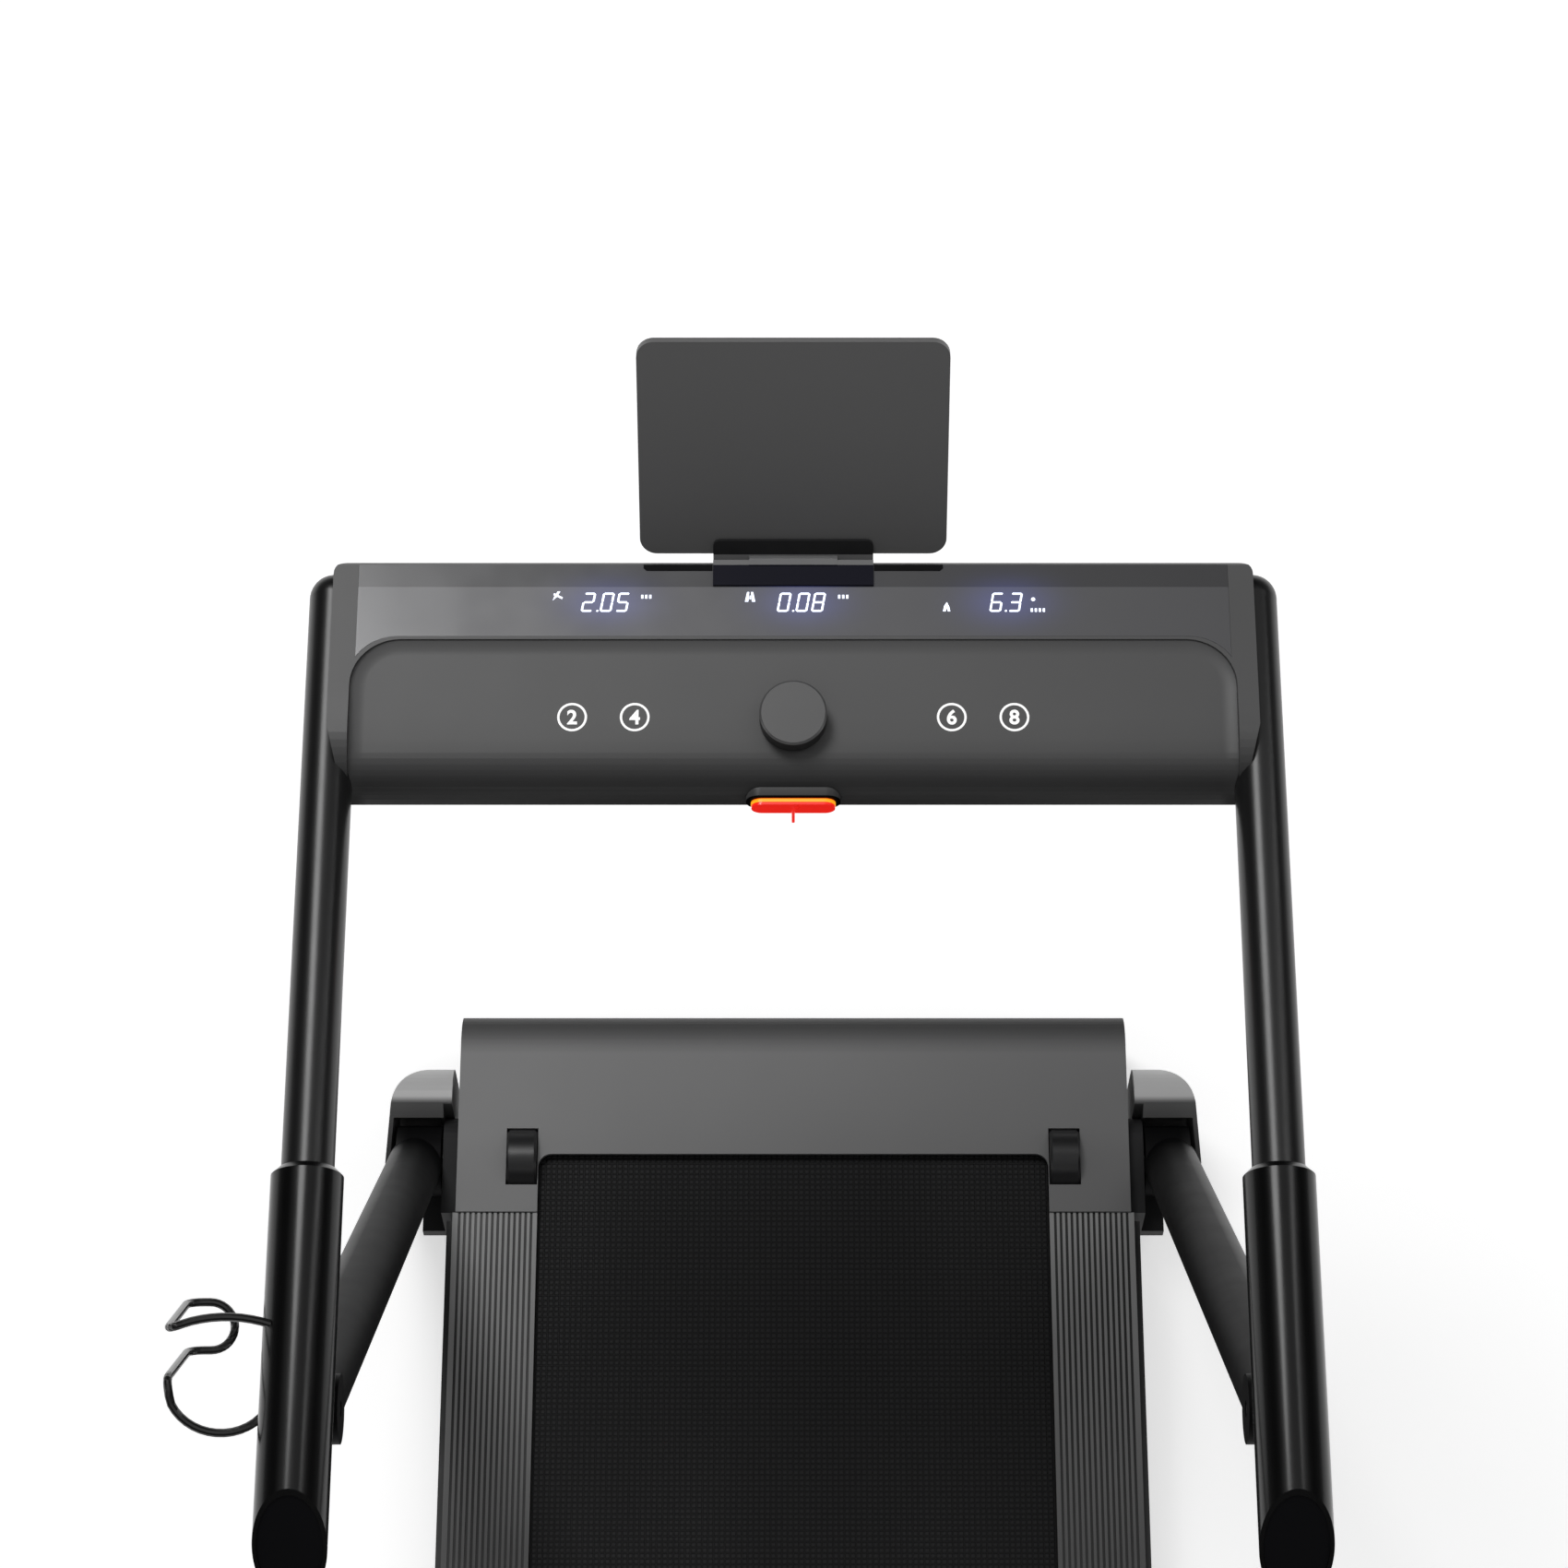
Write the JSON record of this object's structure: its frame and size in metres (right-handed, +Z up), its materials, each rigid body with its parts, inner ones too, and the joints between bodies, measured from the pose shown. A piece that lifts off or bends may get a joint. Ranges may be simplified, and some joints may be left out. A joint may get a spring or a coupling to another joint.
{
  "type": "treadmill",
  "caption": "Low running deck with a motor hood, leaning side arms and a level handrail frame carrying a console, knob, tablet panel and bottle cage.",
  "frame": {"origin": "on the floor, at the middle of the deck's length and width, on the centre foot's underside", "axes": "+X to the right of a person on the belt, +Y forward towards the motor hood, +Z up"},
  "size_m": [0.814, 1.5721, 1.0948],
  "materials": {
    "painted_steel": "satin",
    "frame_paint": "satin",
    "steel": "satin",
    "chromed": "gloss",
    "bronze": "satin",
    "cast": "satin",
    "hood_plastic": "matte",
    "rail_plastic": "matte",
    "black_plastic": "matte",
    "gloss_black": "gloss",
    "console_plastic": "satin",
    "display_face": "gloss",
    "knob_metal": "satin",
    "key_red": "gloss",
    "switch_red": "gloss",
    "belt_rubber": "matte",
    "foot_rubber": "matte",
    "roller_rubber": "satin",
    "board_wood": "matte",
    "circuit": "satin",
    "tablet_face": "satin",
    "wire_black": "gloss"
  },
  "bodies": {
    "deck": {"left_frame_rail": "frame_paint", "right_frame_rail": "frame_paint", "crossmembers": "frame_paint", "deck_board": "board_wood", "deck_cushions": "foot_rubber", "running_belt": "belt_rubber", "left_foot_rail": "rail_plastic", "right_foot_rail": "rail_plastic", "left_side_trim": "black_plastic", "right_side_trim": "black_plastic", "rear_caps": "black_plastic", "rear_roller_shaft": "steel", "tension_bolts": "steel", "front_bushings": "bronze", "drive_belt": "belt_rubber", "motor_casing": "cast", "motor_cradle": "frame_paint", "control_board": "circuit", "motor_hood": "hood_plastic", "belly_pan": "black_plastic", "hood_roller_axles": "steel", "hood_roller_brackets": "frame_paint", "power_inlet": "black_plastic", "switch_frame": "black_plastic", "pivot_brackets": "painted_steel", "pivot_pins": "steel", "left_pivot_shroud": "hood_plastic", "right_pivot_shroud": "hood_plastic", "corner_feet": "foot_rubber", "centre_foot": "foot_rubber"},
    "rear_roller": {"rear_roller": "steel", "rear_roller_bearings": "steel"},
    "front_roller": {"front_roller": "steel", "drive_pulley": "cast"},
    "rotor": {"motor_rotor": "steel"},
    "hood_roller_left": {"left_hood_roller": "roller_rubber"},
    "hood_roller_right": {"right_hood_roller": "roller_rubber"},
    "rocker": {"power_rocker": "switch_red"},
    "arms": {"left_arm": "painted_steel", "right_arm": "painted_steel", "hinge_pins": "steel"},
    "handrail": {"left_rail_tube": "painted_steel", "right_rail_tube": "painted_steel", "hinge_lugs": "painted_steel", "left_grip": "gloss_black", "right_grip": "gloss_black", "grip_end_caps": "black_plastic", "console_shell": "console_plastic", "console_base": "black_plastic", "display_glass": "display_face", "display_board": "circuit", "knob_encoder": "steel", "key_socket": "console_plastic", "tablet_ledge": "black_plastic", "bottle_cage": "wire_black", "console_screws": "steel"},
    "knob_spindle": {"knob_shaft": "steel"},
    "knob": {"speed_knob": "knob_metal"},
    "key": {"safety_key": "key_red"},
    "tablet": {"tablet_panel": "tablet_face"}
  },
  "joints": [
    {"name": "arm_fold", "type": "hinge", "parent": "deck", "child": "arms", "pos_m": [0, 0.577, 0.075], "axis": [1, 0, 0], "range_deg": [0, 58]},
    {"name": "handrail_level", "type": "hinge", "parent": "arms", "child": "handrail", "pos_m": [0, 0.1146, 0.869], "axis": [1, 0, 0], "range_deg": [-58, 0]},
    {"name": "front_roller_spin", "type": "hinge", "parent": "deck", "child": "front_roller", "pos_m": [0, 0.602, 0.076], "axis": [1, 0, 0], "continuous": true},
    {"name": "rear_roller_spin", "type": "hinge", "parent": "deck", "child": "rear_roller", "pos_m": [0, -0.68, 0.076], "axis": [1, 0, 0], "continuous": true},
    {"name": "motor_spin", "type": "hinge", "parent": "deck", "child": "rotor", "pos_m": [0, 0.672, 0.066], "axis": [1, 0, 0], "continuous": true},
    {"name": "left_hood_roller_spin", "type": "hinge", "parent": "deck", "child": "hood_roller_left", "pos_m": [-0.2465, 0.5686, 0.098], "axis": [1, 0, 0], "continuous": true},
    {"name": "right_hood_roller_spin", "type": "hinge", "parent": "deck", "child": "hood_roller_right", "pos_m": [0.2465, 0.5686, 0.098], "axis": [1, 0, 0], "continuous": true},
    {"name": "power_switch", "type": "hinge", "parent": "deck", "child": "rocker", "pos_m": [-0.15, 0.71, 0.05], "axis": [1, 0, 0], "range_deg": [0, 14]},
    {"name": "knob_press", "type": "slide", "parent": "handrail", "child": "knob_spindle", "axis": [0, -0.1158, 0.9933], "range_m": [-0.0015, 0], "stiffness_N_per_m": 2000, "springref_m": 0.001},
    {"name": "knob_turn", "type": "hinge", "parent": "knob_spindle", "child": "knob", "pos_m": [0, 0.618, 0.94307], "axis": [0, -0.1158, 0.9933], "continuous": true},
    {"name": "key_pull", "type": "slide", "parent": "handrail", "child": "key", "axis": [0, -1, 0], "range_m": [0, 0.03]},
    {"name": "tablet_lift", "type": "slide", "parent": "handrail", "child": "tablet", "axis": [0, 0.5402, 0.8415], "range_m": [0, 0.04]}
  ],
  "couplings": [
    {"joint": "handrail_level", "follows": "arm_fold", "ratio": -1},
    {"joint": "rear_roller_spin", "follows": "front_roller_spin", "ratio": 1},
    {"joint": "motor_spin", "follows": "front_roller_spin", "ratio": 2.1429}
  ]
}
